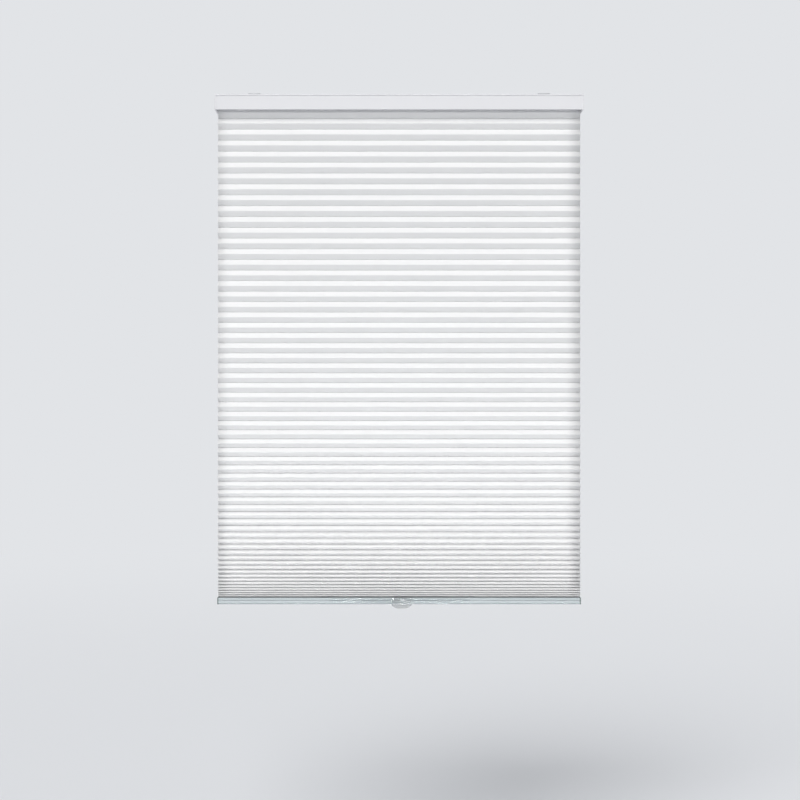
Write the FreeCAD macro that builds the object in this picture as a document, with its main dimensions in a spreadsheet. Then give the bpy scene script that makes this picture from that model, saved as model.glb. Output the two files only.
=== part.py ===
"""Cordless cellular shade: a honeycomb fabric between a slim aluminium headrail and a bottom rail.

Frame: X along the width, -Y towards the room, +Z up. The origin is the middle of the plane
in which the mounting brackets meet the window head. All sizes are in millimetres.
"""

import FreeCAD, Part
import Sketcher
import math
import os
import re

Vector = FreeCAD.Vector

# ---------------------------------------------------------------- driving dimensions
DIMENSIONS = {
    # headrail extrusion and its end caps
    "headrail_length": 594.0,
    "headrail_depth": 44.0,
    "headrail_height": 25.0,
    "headrail_wall": 1.4,
    "face_recess": 0.6,
    "lip_width": 7.0,
    "lip_thickness": 1.2,
    "top_bead": 1.8,
    "groove_height": 2.2,
    "groove_depth": 1.1,
    "bottom_bead": 1.8,
    "bead_radius": 0.5,
    "rail_edge_radius": 1.1,
    "skirt_depth": 5.3,
    "flange_thickness": 1.1,
    "mouth_width": 16.0,
    "slot_width": 21.2,
    "slot_wall": 1.2,
    "slot_height": 1.4,
    "web_thickness": 1.2,
    "cap_thickness": 2.2,
    "cap_overhang": 0.5,
    "plug_length": 8.0,
    "plug_wall": 1.6,
    "fit_gap": 0.2,
    # brackets
    "bracket_thickness": 1.2,
    "bracket_width": 20.0,
    "bracket_spread": 470.0,
    "bracket_length": 42.0,
    "hook_reach": 4.9,
    "hole_spacing": 16.0,
    "screw_hole_radius": 2.2,
    # spring motor
    "motor_length": 143.0,
    "motor_width": 39.6,
    "motor_wall": 1.2,
    "motor_floor": 1.0,
    "motor_inside_height": 12.2,
    "cover_thickness": 1.0,
    "axle_radius": 2.0,
    "axle_bore_radius": 2.05,
    "axle_spacing": 34.2,
    "boss_radius": 2.4,
    "boss_row": 16.4,
    "boss_reach": 67.4,
    "screw_radius": 1.0,
    "screw_head_radius": 1.9,
    "screw_length": 7.0,
    "gear_thickness": 3.0,
    "drum_clearance": 0.4,
    "core_height": 7.4,
    "drum_flange": 1.0,
    "tooth_count": 34,
    "root_radius": 15.7,
    "tip_radius": 17.9,
    "root_half_tooth": 1.12,
    "tip_half_tooth": 0.42,
    "drum_flange_radius": 15.0,
    "spool_core_radius": 11.0,
    "spring_core_radius": 7.5,
    "spring_width": 7.0,
    "spring_tape": 0.3,
    "drive_coil_radius": 9.4,
    "storage_coil_radius": 8.4,
    # lift cords, their guides and anchors
    "lift_spread": 370.0,
    "cord_radius": 0.45,
    "cord_lay_gap": 0.05,
    "cord_wrap_degrees": 300,
    "guide_length": 24.0,
    "guide_depth": 30.0,
    "guide_height": 12.6,
    "guide_floor": 2.0,
    "guide_slot": 4.0,
    "guide_pin_radius": 2.0,
    "guide_pin_length": 14.0,
    "spout_radius": 3.8,
    "spout_bore_radius": 1.5,
    "web_hole_radius": 4.0,
    "strip_hole_radius": 2.5,
    "knot_radius": 1.4,
    "anchor_head_radius": 4.0,
    "anchor_head": 2.0,
    "anchor_stem_radius": 1.9,
    "anchor_bore_radius": 0.6,
    # fabric and the strips that hold it
    "fabric_width": 590.5,
    "cell_count": 60,
    "cell_leg": 12.0,
    "cloth_thickness": 0.3,
    "glue_width": 5.0,
    "glue_thickness": 0.4,
    "fabric_hole_radius": 1.5,
    "widest_pitch": 18.29,
    "rail_weight_in_cells": 6.44,
    "opening_cells": 32.64,
    "opening_power": 1.25,
    "strip_length": 586.0,
    "strip_width": 20.8,
    "strip_thickness": 1.2,
    "strip_ridge": 12.0,
    # bottom rail
    "rail_length": 587.5,
    "rail_depth": 30.0,
    "rail_height": 10.5,
    "rail_gap": 1.4,
    "ridge_gap": 0.15,
    "rail_wall": 1.2,
    "rail_web": 1.0,
    "rail_lip": 3.2,
    "rail_lip_radius": 1.0,
    "rail_groove_height": 1.3,
    "rail_groove_depth": 1.6,
    "rail_face_recess": 0.2,
    "rail_corner_radius": 2.5,
    "rail_cap_thickness": 2.0,
    "rail_cap_overhang": 0.2,
    "rail_plug_wall": 1.0,
    "ballast_length": 340.0,
    "ballast_width": 14.0,
    "ballast_height": 5.0,
    # lift handle
    "handle_width": 32.0,
    "handle_offset": 4.0,
    "handle_plate": 1.8,
    "handle_hook": 0.7,
    "handle_hook_reach": 4.0,
    "handle_foot": 1.4,
    "handle_foot_reach": 14.0,
    "handle_gap": 0.2,
    "tab_drop": 5.8,
    "tab_reach": 6.0,
    "tab_tip_width": 16.0,
    "tab_corner": 1.4,
}

os.makedirs("parts", exist_ok=True)
doc = FreeCAD.newDocument("CellularShade")
sheet = doc.addObject("Spreadsheet::Sheet", "Sizes")


def set_cell(row, name, value):
    sheet.set(f"A{row}", name)
    sheet.set(f"B{row}", str(value))
    sheet.setAlias(f"B{row}", name)


for row, (name, value) in enumerate(DIMENSIONS.items(), start=1):
    set_cell(row, name, value)
doc.recompute()


def size(name):
    return float(sheet.get(name))


def cell_pitch(cells_below):
    """Height of one cell: it hangs more open the more weight hangs below it."""
    load = (cells_below + size("rail_weight_in_cells")) / size("opening_cells")
    return size("widest_pitch") * math.tanh(load ** size("opening_power"))


CELL_COUNT = int(size("cell_count"))
PITCHES = [cell_pitch(CELL_COUNT - cell) for cell in range(CELL_COUNT)]
set_cell(len(DIMENSIONS) + 1, "fabric_height", round(sum(PITCHES), 4))
doc.recompute()
ALIASES = re.compile(r"\b(" + "|".join([*DIMENSIONS, "fabric_height"]) + r")\b")

# Levels, from the top down, as expressions of the sheet
TOP = "(-bracket_thickness)"
LIP_UNDER = f"({TOP} - lip_thickness)"
BOTTOM = f"({TOP} - headrail_height)"
FLANGE_UNDER = f"({BOTTOM} + skirt_depth)"
STRIP_SEAT = f"({FLANGE_UNDER} + flange_thickness)"
WEB_UNDER = f"({STRIP_SEAT} + slot_height)"
FLOOR = f"({WEB_UNDER} + web_thickness)"
MOTOR_BASE = f"({FLOOR} + motor_floor)"
MOTOR_ROOF = f"({MOTOR_BASE} + motor_inside_height)"
DRUM_BASE = f"({MOTOR_BASE} + drum_clearance)"
CORE_BASE = f"({DRUM_BASE} + gear_thickness)"
CORD_LEVEL = f"({CORE_BASE} + core_height / 2)"
FABRIC_TOP = f"({STRIP_SEAT} - glue_thickness / 2)"
FABRIC_END = f"({FABRIC_TOP} - fabric_height)"
RAIL_TOP = f"({FABRIC_END} - glue_thickness / 2 - rail_gap)"
RAIL_SLOT_FLOOR = f"({RAIL_TOP} - rail_web - slot_height)"
CHAMBER_TOP = f"({RAIL_SLOT_FLOOR} - rail_web)"
RAIL_BOTTOM = f"({RAIL_TOP} - rail_height)"
RAIL_SHOULDER = f"({RAIL_TOP} - rail_lip - rail_groove_height - rail_web)"


def sized(text):
    """An expression with each dimension's name pointed at the sheet."""
    return ALIASES.sub(r"Sizes.\1", str(text))


def bind(thing, prop, text):
    thing.setExpression(prop, sized(text))


LEVEL_PROBE = doc.addObject("App::FeaturePython", "LevelProbe")
LEVEL_PROBE.addProperty("App::PropertyFloat", "Level")


def level(text):
    """The number that an expression of the sheet comes to."""
    bind(LEVEL_PROBE, "Level", text)
    LEVEL_PROBE.recompute()
    return LEVEL_PROBE.Level


# ---------------------------------------------------------------- PartDesign helpers
def new_body(label):
    body = doc.addObject("PartDesign::Body", label)
    body.Label = label
    return body


def new_sketch(body, role, lift="0"):
    """A sketch on one of the body's origin planes, lifted along the plane's normal."""
    sketch = body.newObject("Sketcher::SketchObject", body.Name + "_outline")
    plane = next(f for f in body.Origin.OriginFeatures if f.Role == role)
    sketch.AttachmentSupport = [(plane, "")]
    sketch.MapMode = "FlatFace"
    bind(sketch, "AttachmentOffset.Base.z", lift)
    return sketch


def bind_point(sketch, edge, end, across, up):
    """Ties one end of an edge, or the centre of a circle, to two expressions."""
    here = sketch.getPoint(edge, end)
    for kind, start, text in (("DistanceX", here.x, across), ("DistanceY", here.y, up)):
        row = sketch.addConstraint(Sketcher.Constraint(kind, -1, 1, edge, end, start))
        bind(sketch, f"Constraints[{row}]", text)


def add_polygon(sketch, corners):
    """A closed polygon whose every corner is tied to the sheet."""
    count, first = len(corners), sketch.GeometryCount
    turn = 2 * math.pi / count
    start = [Vector(10 * math.cos(turn * i), 10 * math.sin(turn * i), 0) for i in range(count)]
    for i in range(count):
        sketch.addGeometry(Part.LineSegment(start[i], start[(i + 1) % count]))
    for i in range(count):
        after = first + (i + 1) % count
        sketch.addConstraint(Sketcher.Constraint("Coincident", first + i, 2, after, 1))
    for i, (across, up) in enumerate(corners):
        bind_point(sketch, first + i, 1, across, up)


def add_rectangle(sketch, left, right, low, high):
    add_polygon(sketch, [(left, low), (right, low), (right, high), (left, high)])


def add_circles(sketch, centres, radius):
    for across, up in centres:
        edge = sketch.addGeometry(Part.Circle(Vector(1, 1, 0), Vector(0, 0, 1), 1))
        row = sketch.addConstraint(Sketcher.Constraint("Radius", edge, 1))
        bind(sketch, f"Constraints[{row}]", radius)
        bind_point(sketch, edge, 3, across, up)


def pad(body, sketch, length, both_ways=False, backwards=False):
    feature = body.newObject("PartDesign::Pad", body.Name + "_pad")
    feature.Profile = sketch
    feature.SideType = "Symmetric" if both_ways else "One side"
    feature.Reversed = backwards
    bind(feature, "Length", length)
    doc.recompute()
    return feature


def pocket(body, sketch, length=None, both_ways=True, backwards=False):
    """Cuts the sketch out of the body, right through when no length is given."""
    before = body.Shape.Volume
    feature = body.newObject("PartDesign::Pocket", body.Name + "_pocket")
    feature.Profile = sketch
    feature.SideType = "Symmetric" if both_ways else "One side"
    feature.Reversed = backwards
    if length is None:
        feature.Type = "ThroughAll"
    else:
        bind(feature, "Length", length)
    doc.recompute()
    if body.Shape.Volume > before - 0.01:
        raise RuntimeError(f"{feature.Name} cuts nothing")
    return feature


def round_edges(body, radius, wanted):
    """Rounds the edges of the body's last feature for which wanted(edge) holds."""
    base = body.Tip
    names = [f"Edge{i}" for i, edge in enumerate(base.Shape.Edges, start=1) if wanted(edge)]
    if not names:
        raise RuntimeError(f"{body.Name} has no edge to round")
    feature = body.newObject("PartDesign::Fillet", body.Name + "_round")
    feature.Base = (base, names)
    bind(feature, "Radius", radius)
    doc.recompute()


def along_x(edge, places, slack=0.05):
    """True for an edge parallel to X that runs through one of the (y, z) places."""
    ends = [vertex.Point for vertex in edge.Vertexes]
    if len(ends) != 2 or abs(ends[0].x - ends[1].x) < slack:
        return False
    return any(
        all(math.hypot(end.y - y, end.z - z) < slack for end in ends) for y, z in places
    )


def mirrored(front):
    """A section that is the same at the back: the front's corners, then their mirror."""
    return front + [(f"-({across})", up) for across, up in reversed(front)]


SIDES = {"left": -1, "right": 1}


# ---------------------------------------------------------------- headrail
def make_headrail():
    """Aluminium extrusion: a channel open at the top, with a slot for the fabric below."""
    body = new_body("headrail")
    face = "-headrail_depth / 2"
    wall = f"({face} + face_recess)"
    inside = f"({wall} + headrail_wall)"
    front = [
        (f"{face} + lip_width", TOP),
        (face, TOP),
        (face, f"{TOP} - top_bead"),
        (f"{face} + groove_depth", f"{TOP} - top_bead"),
        (f"{face} + groove_depth", f"{TOP} - top_bead - groove_height"),
        (wall, f"{TOP} - top_bead - groove_height"),
        (wall, f"{BOTTOM} + bottom_bead"),
        (face, f"{BOTTOM} + bottom_bead"),
        (face, BOTTOM),
        (inside, BOTTOM),
        (inside, WEB_UNDER),
        ("-slot_width / 2 - slot_wall", WEB_UNDER),
        ("-slot_width / 2 - slot_wall", FLANGE_UNDER),
        ("-mouth_width / 2", FLANGE_UNDER),
        ("-mouth_width / 2", STRIP_SEAT),
        ("-slot_width / 2", STRIP_SEAT),
        ("-slot_width / 2", WEB_UNDER),
    ]
    channel = [(f"{face} + lip_width", LIP_UNDER), (inside, LIP_UNDER), (inside, FLOOR)]
    section = new_sketch(body, "YZ_Plane")
    add_polygon(section, mirrored(front) + mirrored(channel)[::-1])
    pad(body, section, "headrail_length", both_ways=True)
    holes = new_sketch(body, "XY_Plane")
    add_circles(holes, [("-lift_spread / 2", "0"), ("lift_spread / 2", "0")], "web_hole_radius")
    pocket(body, holes)
    depth, top, bottom = level("headrail_depth / 2"), level(TOP), level(BOTTOM)

    def front_and_back(*heights):
        return [(side * depth, height) for side in SIDES.values() for height in heights]

    beads = front_and_back(top - size("top_bead"), bottom + size("bottom_bead"))
    round_edges(body, "bead_radius", lambda edge: along_x(edge, beads))
    outer = front_and_back(top, bottom)
    round_edges(body, "rail_edge_radius", lambda edge: along_x(edge, outer))


def make_headrail_cap(end, side):
    """Moulded end cap: a plate over the end and a hollow plug in the channel."""
    body = new_body(f"headrail_end_cap_{end}")
    at = f"{side} * headrail_length / 2"
    half, over = "headrail_depth / 2", "cap_overhang"
    plate = new_sketch(body, "YZ_Plane", at)
    add_rectangle(plate, f"-{half} - {over}", f"{half} + {over}", f"{BOTTOM} - {over}", f"{TOP} + {over}")
    pad(body, plate, "cap_thickness", backwards=side < 0)
    outside = level(at + f" + {side} * cap_thickness")
    round_edges(body, "1.2", lambda edge: abs(edge.BoundBox.XLength - size("cap_thickness")) < 0.01)
    round_edges(body, "0.5", lambda edge: abs(edge.CenterOfMass.x - outside) < 0.01)
    room = "headrail_depth / 2 - face_recess - headrail_wall - fit_gap"
    low, high = f"{FLOOR} + fit_gap", f"{LIP_UNDER} - fit_gap"
    plug = new_sketch(body, "YZ_Plane", at)
    add_rectangle(plug, f"-({room})", room, low, high)
    add_rectangle(
        plug, f"-({room} - plug_wall)", f"{room} - plug_wall", f"{low} + plug_wall", f"{high} - plug_wall"
    )
    pad(body, plug, "plug_length", backwards=side > 0)


def make_bracket(end, side):
    """Spring-steel bracket: a plate with two screw holes and hooks for the headrail's lips."""
    body = new_body(f"mounting_bracket_{end}")
    lip_edge = "(headrail_depth / 2 - lip_width - fit_gap)"
    foot = f"({LIP_UNDER} - fit_gap)"
    back = [
        ("bracket_length / 2", "0"),
        ("bracket_length / 2", TOP),
        (lip_edge, TOP),
        (lip_edge, foot),
        (f"{lip_edge} + hook_reach", foot),
        (f"{lip_edge} + hook_reach", f"{foot} - bracket_thickness"),
        (f"{lip_edge} - bracket_thickness", f"{foot} - bracket_thickness"),
        (f"{lip_edge} - bracket_thickness", TOP),
    ]
    section = new_sketch(body, "YZ_Plane")
    add_polygon(section, mirrored(back))
    pad(body, section, "bracket_width", both_ways=True)
    holes = new_sketch(body, "XY_Plane")
    add_circles(holes, [("0", "-hole_spacing / 2"), ("0", "hole_spacing / 2")], "screw_hole_radius")
    pocket(body, holes)
    plate_corners = size("bracket_thickness")
    round_edges(
        body,
        "3",
        lambda edge: abs(edge.BoundBox.ZLength - plate_corners) < 0.01
        and abs(abs(edge.CenterOfMass.y) - size("bracket_length") / 2) < 0.01
        and edge.BoundBox.XLength < 0.01,
    )
    bind(body, "Placement.Base.x", f"{side} * bracket_spread / 2")


# ---------------------------------------------------------------- spring motor
AXLES = [f"{step} * axle_spacing" for step in (-1.5, -0.5, 0.5, 1.5)]
SCREW_PLACES = [
    (f"{step} * boss_reach", f"{row} * boss_row") for step in (-1, 0, 1) for row in (-1, 1)
]


def make_motor_housing():
    """Moulded tray with four axle posts, six screw bosses and a cord slot in each end."""
    body = new_body("motor_housing")
    half, wide = "motor_length / 2", "motor_width / 2"
    outer = new_sketch(body, "XY_Plane", FLOOR)
    add_rectangle(outer, f"-{half}", half, f"-{wide}", wide)
    pad(body, outer, "motor_floor + motor_inside_height")
    inner = new_sketch(body, "XY_Plane", MOTOR_ROOF)
    inside, inside_wide = f"({half} - motor_wall)", f"({wide} - motor_wall)"
    add_rectangle(inner, f"-{inside}", inside, f"-{inside_wide}", inside_wide)
    pocket(body, inner, "motor_inside_height", both_ways=False)
    posts = new_sketch(body, "XY_Plane", MOTOR_BASE)
    add_circles(posts, [(across, "0") for across in AXLES], "axle_radius")
    pad(body, posts, "motor_inside_height")
    bosses = new_sketch(body, "XY_Plane", MOTOR_BASE)
    add_circles(bosses, SCREW_PLACES, "boss_radius")
    pad(body, bosses, "motor_inside_height")
    screw_holes = new_sketch(body, "XY_Plane", MOTOR_ROOF)
    add_circles(screw_holes, SCREW_PLACES, "screw_radius + 0.05")
    pocket(body, screw_holes, "screw_length + 0.5", both_ways=False)
    slots = new_sketch(body, "YZ_Plane")
    low, high = f"{CORD_LEVEL} - 1.5", f"{CORD_LEVEL} + 1.5"
    add_rectangle(slots, "-spool_core_radius - 1.5", "-spool_core_radius + 4", low, high)
    pocket(body, slots)


def make_motor_cover():
    """Flat moulded cover with sunk screw seats and a raised cap over each axle."""
    body = new_body("motor_cover")
    half, wide = "motor_length / 2", "motor_width / 2"
    plate = new_sketch(body, "XY_Plane", MOTOR_ROOF)
    add_rectangle(plate, f"-{half}", half, f"-{wide}", wide)
    pad(body, plate, "cover_thickness")
    caps = new_sketch(body, "XY_Plane", f"{MOTOR_ROOF} + cover_thickness")
    add_circles(caps, [(across, "0") for across in AXLES], "axle_radius * 2")
    pad(body, caps, "0.4")
    holes = new_sketch(body, "XY_Plane")
    add_circles(holes, SCREW_PLACES, "screw_radius + 0.2")
    pocket(body, holes)
    seats = new_sketch(body, "XY_Plane", f"{MOTOR_ROOF} + cover_thickness")
    add_circles(seats, SCREW_PLACES, "screw_head_radius + 0.2")
    pocket(body, seats, "cover_thickness / 2", both_ways=False)


def make_cover_screws():
    """Six pan-head screws, one group of separate solids."""
    body = doc.addObject("Part::Compound", "cover_screws")
    body.Label = "cover_screws"
    screws = []
    for number, (across, row) in enumerate(SCREW_PLACES, start=1):
        shank = doc.addObject("Part::Cylinder", f"screw_shank_{number}")
        bind(shank, "Radius", "screw_radius")
        bind(shank, "Height", "screw_length")
        bind(shank, "Placement.Base.z", f"{MOTOR_ROOF} + cover_thickness / 2 - screw_length")
        head = doc.addObject("Part::Cylinder", f"screw_head_{number}")
        bind(head, "Radius", "screw_head_radius")
        bind(head, "Height", "0.9")
        bind(head, "Placement.Base.z", f"{MOTOR_ROOF} + cover_thickness / 2")
        for piece in (shank, head):
            bind(piece, "Placement.Base.x", across)
            bind(piece, "Placement.Base.y", row)
        whole = doc.addObject("Part::Fuse", f"screw_{number}")
        whole.Base, whole.Tool = head, shank
        slot = doc.addObject("Part::Box", f"screw_slot_{number}")
        bind(slot, "Length", "2.4")
        bind(slot, "Width", "0.5")
        bind(slot, "Height", "0.5")
        bind(slot, "Placement.Base.x", f"{across} - 1.2")
        bind(slot, "Placement.Base.y", f"{row} - 0.25")
        bind(slot, "Placement.Base.z", f"{MOTOR_ROOF} + cover_thickness / 2 + 0.5")
        slotted = doc.addObject("Part::Cut", f"slotted_screw_{number}")
        slotted.Base, slotted.Tool = whole, slot
        screws.append(slotted)
    body.Links = screws


def make_drum(label, axle, core_radius, half_tooth_turned):
    """Geared drum: a toothed wheel, a winding core and a top flange on one bore."""
    body = new_body(label)
    wheel = new_sketch(body, "XY_Plane", DRUM_BASE)
    add_circles(wheel, [("0", "0")], "root_radius")
    pad(body, wheel, "gear_thickness")
    tooth = new_sketch(body, "XY_Plane", DRUM_BASE)
    inner = "root_radius - 0.6"
    add_polygon(
        tooth,
        [
            (inner, "-root_half_tooth"),
            ("root_radius", "-root_half_tooth"),
            ("tip_radius", "-tip_half_tooth"),
            ("tip_radius", "tip_half_tooth"),
            ("root_radius", "root_half_tooth"),
            (inner, "root_half_tooth"),
        ],
    )
    one_tooth = pad(body, tooth, "gear_thickness")
    ring = body.newObject("PartDesign::PolarPattern", label + "_teeth")
    ring.Originals = [one_tooth]
    axis = next(f for f in body.Origin.OriginFeatures if f.Role == "Z_Axis")
    ring.Axis = (axis, [""])
    ring.Angle = 360
    bind(ring, "Occurrences", "tooth_count")
    body.Tip = ring
    doc.recompute()
    core = new_sketch(body, "XY_Plane", CORE_BASE)
    add_circles(core, [("0", "0")], core_radius)
    pad(body, core, "core_height")
    flange = new_sketch(body, "XY_Plane", f"{CORE_BASE} + core_height")
    add_circles(flange, [("0", "0")], "drum_flange_radius")
    pad(body, flange, "drum_flange")
    bore = new_sketch(body, "XY_Plane")
    add_circles(bore, [("0", "0")], "axle_bore_radius")
    pocket(body, bore)
    tie_hole = new_sketch(body, "XY_Plane", f"{CORE_BASE} + core_height + drum_flange")
    add_circles(tie_hole, [("0", "drum_flange_radius - 1.6")], "0.8")
    pocket(body, tie_hole, "drum_flange", both_ways=False)
    turn = 180 / size("tooth_count") if half_tooth_turned else 0
    body.Placement = FreeCAD.Placement(Vector(0, 0, 0), FreeCAD.Rotation(Vector(0, 0, 1), turn))
    bind(body, "Placement.Base.x", axle)


def make_power_spring():
    """Flat steel spring, wound on both spring drums and crossing over between them."""
    spacing, tape = size("axle_spacing"), size("spring_tape")
    drive, storage = size("drive_coil_radius"), size("storage_coil_radius")
    width = size("spring_width")
    base = level(f"{CORE_BASE} + (core_height - spring_width) / 2")
    hollow = Part.makeCylinder(size("spring_core_radius") + 0.1, width)
    coils = []
    for place, radius in ((-spacing / 2, drive), (spacing / 2, storage)):
        coil = Part.makeCylinder(radius, width).cut(hollow)
        coil.translate(Vector(place, 0, 0))
        coils.append(coil)
    drive_middle, storage_middle = drive - tape / 2, storage - tape / 2
    slope = math.asin((drive_middle + storage_middle) / spacing)
    across = Vector(math.sin(slope), math.cos(slope), 0)
    start = Vector(-spacing / 2, 0, 0) + across * drive_middle
    end = Vector(spacing / 2, 0, 0) - across * storage_middle
    side = across * (tape / 2)
    corners = [start + side, end + side, end - side, start - side, start + side]
    band = Part.Face(Part.makePolygon(corners)).extrude(Vector(0, 0, width))
    spring = doc.addObject("Part::Feature", "power_spring")
    spring.Shape = coils[0].fuse([coils[1], band]).removeSplitter()
    spring.Label = "power_spring"
    spring.Placement = FreeCAD.Placement(Vector(0, 0, base), FreeCAD.Rotation())


# ---------------------------------------------------------------- cord guides and lift cords
def make_cord_guide(end, side):
    """Moulded block in the channel; its spout fills the hole in the headrail's web."""
    body = new_body(f"cord_guide_{end}")
    length, depth = "guide_length / 2", "guide_depth / 2"
    block = new_sketch(body, "XY_Plane", FLOOR)
    add_rectangle(block, f"-{length}", length, f"-{depth}", depth)
    pad(body, block, "guide_height")
    spout = new_sketch(body, "XY_Plane", FLOOR)
    add_circles(spout, [("0", "0")], "spout_radius")
    pad(body, spout, "web_thickness", backwards=True)
    inner_end = f"{-side} * guide_length / 2"
    outer_end = f"{side} * (spout_bore_radius + 1)"
    slot = new_sketch(body, "XY_Plane", f"{FLOOR} + guide_height")
    add_rectangle(slot, inner_end, outer_end, "-guide_slot / 2", "guide_slot / 2")
    pocket(body, slot, "guide_height - guide_floor", both_ways=False)
    bore = new_sketch(body, "XY_Plane")
    add_circles(bore, [("0", "0")], "spout_bore_radius")
    pocket(body, bore)
    pin_hole = new_sketch(body, "XZ_Plane")
    turn = "(guide_pin_radius + cord_radius + cord_lay_gap)"
    add_circles(pin_hole, [(f"{-side} * {turn}", f"{CORD_LEVEL} - {turn}")], "guide_pin_radius + 0.02")
    pocket(body, pin_hole, "guide_pin_length + 0.4")
    bind(body, "Placement.Base.x", f"{side} * lift_spread / 2")


def make_guide_pin(end, side):
    """Steel pin that turns the lift cord from the headrail down into the fabric."""
    pin = doc.addObject("Part::Cylinder", f"guide_pin_{end}")
    pin.Label = f"guide_pin_{end}"
    turn = "(guide_pin_radius + cord_radius + cord_lay_gap)"
    bind(pin, "Radius", "guide_pin_radius")
    bind(pin, "Height", "guide_pin_length")
    pin.Placement = FreeCAD.Placement(Vector(0, 0, 0), FreeCAD.Rotation(Vector(1, 0, 0), 90))
    bind(pin, "Placement.Base.x", f"{side} * (lift_spread / 2 - {turn})")
    bind(pin, "Placement.Base.y", "guide_pin_length / 2")
    bind(pin, "Placement.Base.z", f"{CORD_LEVEL} - {turn}")


def make_lift_cord(end, side):
    """Round cord: a turn on its spool, a straight run, over the pin and down to a knot."""
    radius = size("cord_radius")
    lay = radius + size("cord_lay_gap")
    wrap, bend = size("spool_core_radius") + lay, size("guide_pin_radius") + lay
    height = level(CORD_LEVEL)
    spool = Vector(side * 1.5 * size("axle_spacing"), 0, height)
    drop = Vector(side * size("lift_spread") / 2, 0, height)
    skew = math.asin(wrap / (drop - spool).Length)
    run = Vector(side * math.cos(skew), math.sin(skew), 0)
    leave = spool + Vector(side * math.sin(skew), -math.cos(skew), 0) * wrap
    start_angle = math.atan2(leave.y - spool.y, leave.x - spool.x)
    sweep = -side * math.radians(size("cord_wrap_degrees"))

    def on_spool(share):
        angle = start_angle + sweep * share
        return spool + Vector(math.cos(angle), math.sin(angle), 0) * wrap

    over = drop - run * bend
    down = drop - Vector(0, 0, bend)
    crown = over - Vector(0, 0, bend) + (run + Vector(0, 0, 1)) * (bend / math.sqrt(2))
    knot = level(f"{CHAMBER_TOP} - anchor_head - knot_radius")
    foot = Vector(drop.x, 0, knot)
    edges = [
        Part.Arc(on_spool(1), on_spool(0.5), leave).toShape(),
        Part.LineSegment(leave, over).toShape(),
        Part.Arc(over, crown, down).toShape(),
        Part.LineSegment(down, foot).toShape(),
    ]
    path = Part.Wire(edges)
    first = edges[0]
    tangent = first.tangentAt(first.FirstParameter)
    ring = Part.Wire([Part.makeCircle(radius, on_spool(1), tangent)])
    cord = path.makePipeShell([ring], True, False)
    if abs(cord.Volume / (math.pi * radius**2 * path.Length) - 1) > 0.01:
        raise RuntimeError(f"lift cord {end}: the sweep's volume is wrong")
    feature = doc.addObject("Part::Feature", f"lift_cord_{end}")
    feature.Shape = cord.fuse(Part.makeSphere(size("knot_radius"), foot))
    feature.Label = f"lift_cord_{end}"
    feature.Placement = FreeCAD.Placement()
    print(f"lift_cord_{end}: {path.Length:.0f} mm from the spool to the knot")


def make_cord_anchor(end, side):
    """Moulded button below the bottom rail's web: the knot pulls up against it."""
    body = new_body(f"cord_anchor_{end}")
    profile = new_sketch(body, "XZ_Plane")
    stem_top = RAIL_SLOT_FLOOR
    head_under = f"{CHAMBER_TOP} - anchor_head"
    add_polygon(
        profile,
        [
            ("anchor_bore_radius", head_under),
            ("anchor_head_radius", head_under),
            ("anchor_head_radius", CHAMBER_TOP),
            ("anchor_stem_radius", CHAMBER_TOP),
            ("anchor_stem_radius", stem_top),
            ("anchor_bore_radius", stem_top),
        ],
    )
    turned = body.newObject("PartDesign::Revolution", body.Name + "_turned")
    turned.Profile = profile
    turned.ReferenceAxis = (profile, ["V_Axis"])
    turned.Angle = 360
    doc.recompute()
    bind(body, "Placement.Base.x", f"{side} * lift_spread / 2")


# ---------------------------------------------------------------- fabric and strips
def make_fabric():
    """Honeycomb of folded cloth: open-ended cells, glued to each other along flat strips."""
    leg, cloth = size("cell_leg"), size("cloth_thickness") / 2
    glue, layer = size("glue_width") / 2, size("glue_thickness") / 2
    top = level(FABRIC_TOP)
    joints = [top]
    for pitch in PITCHES:
        joints.append(joints[-1] - pitch)
    halves = [pitch / 2 for pitch in PITCHES]
    slopes = [math.sqrt(leg**2 - half**2) / half for half in halves]
    skins = [cloth * leg / half for half in halves]
    side = [(glue + skins[0] - layer * slopes[0], top + layer)]
    cells = []
    for cell, (half, slope, skin) in enumerate(zip(halves, slopes, skins)):
        upper, lower, middle = joints[cell], joints[cell + 1], joints[cell] - half
        crease = glue + half * slope + cloth
        blunt = (skin - cloth) / slope
        side += [(crease, middle + blunt), (crease, middle - blunt)]
        if cell + 1 < CELL_COUNT:
            rise = (skins[cell + 1] - skin) / (slope + slopes[cell + 1])
            side.append((glue + skin + rise * slope, lower + rise))
        flat = glue + layer * slope - skin
        inner = [(flat, upper - layer), (glue + half * slope - skin, middle), (flat, lower + layer)]
        cells.append(inner + [(-across, up) for across, up in reversed(inner)])
    side.append((glue + skins[-1] - layer * slopes[-1], joints[-1] - layer))
    outline = side + [(-across, up) for across, up in reversed(side)]
    left = -size("fabric_width") / 2

    def loop(corners):
        points = [Vector(left, across, up) for across, up in corners]
        return Part.makePolygon(points + points[:1])

    section = Part.makeFace([loop(outline), *map(loop, cells)], "Part::FaceMakerBullseye")
    honeycomb = section.extrude(Vector(size("fabric_width"), 0, 0))
    height = size("fabric_height") + 2
    for place in SIDES.values():
        base = Vector(place * size("lift_spread") / 2, 0, joints[-1] - 1)
        honeycomb = honeycomb.cut(Part.makeCylinder(size("fabric_hole_radius"), height, base))
    fabric = doc.addObject("Part::Feature", "cellular_fabric")
    fabric.Shape = honeycomb.Solids[0]
    fabric.Label = "cellular_fabric"
    fabric.Placement = FreeCAD.Placement()
    cloth_run = CELL_COUNT * (4 * leg + 2 * size("glue_width"))
    print(f"cellular_fabric: cut {size('fabric_width'):.1f} mm wide and {cloth_run:.0f} mm long")


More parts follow.
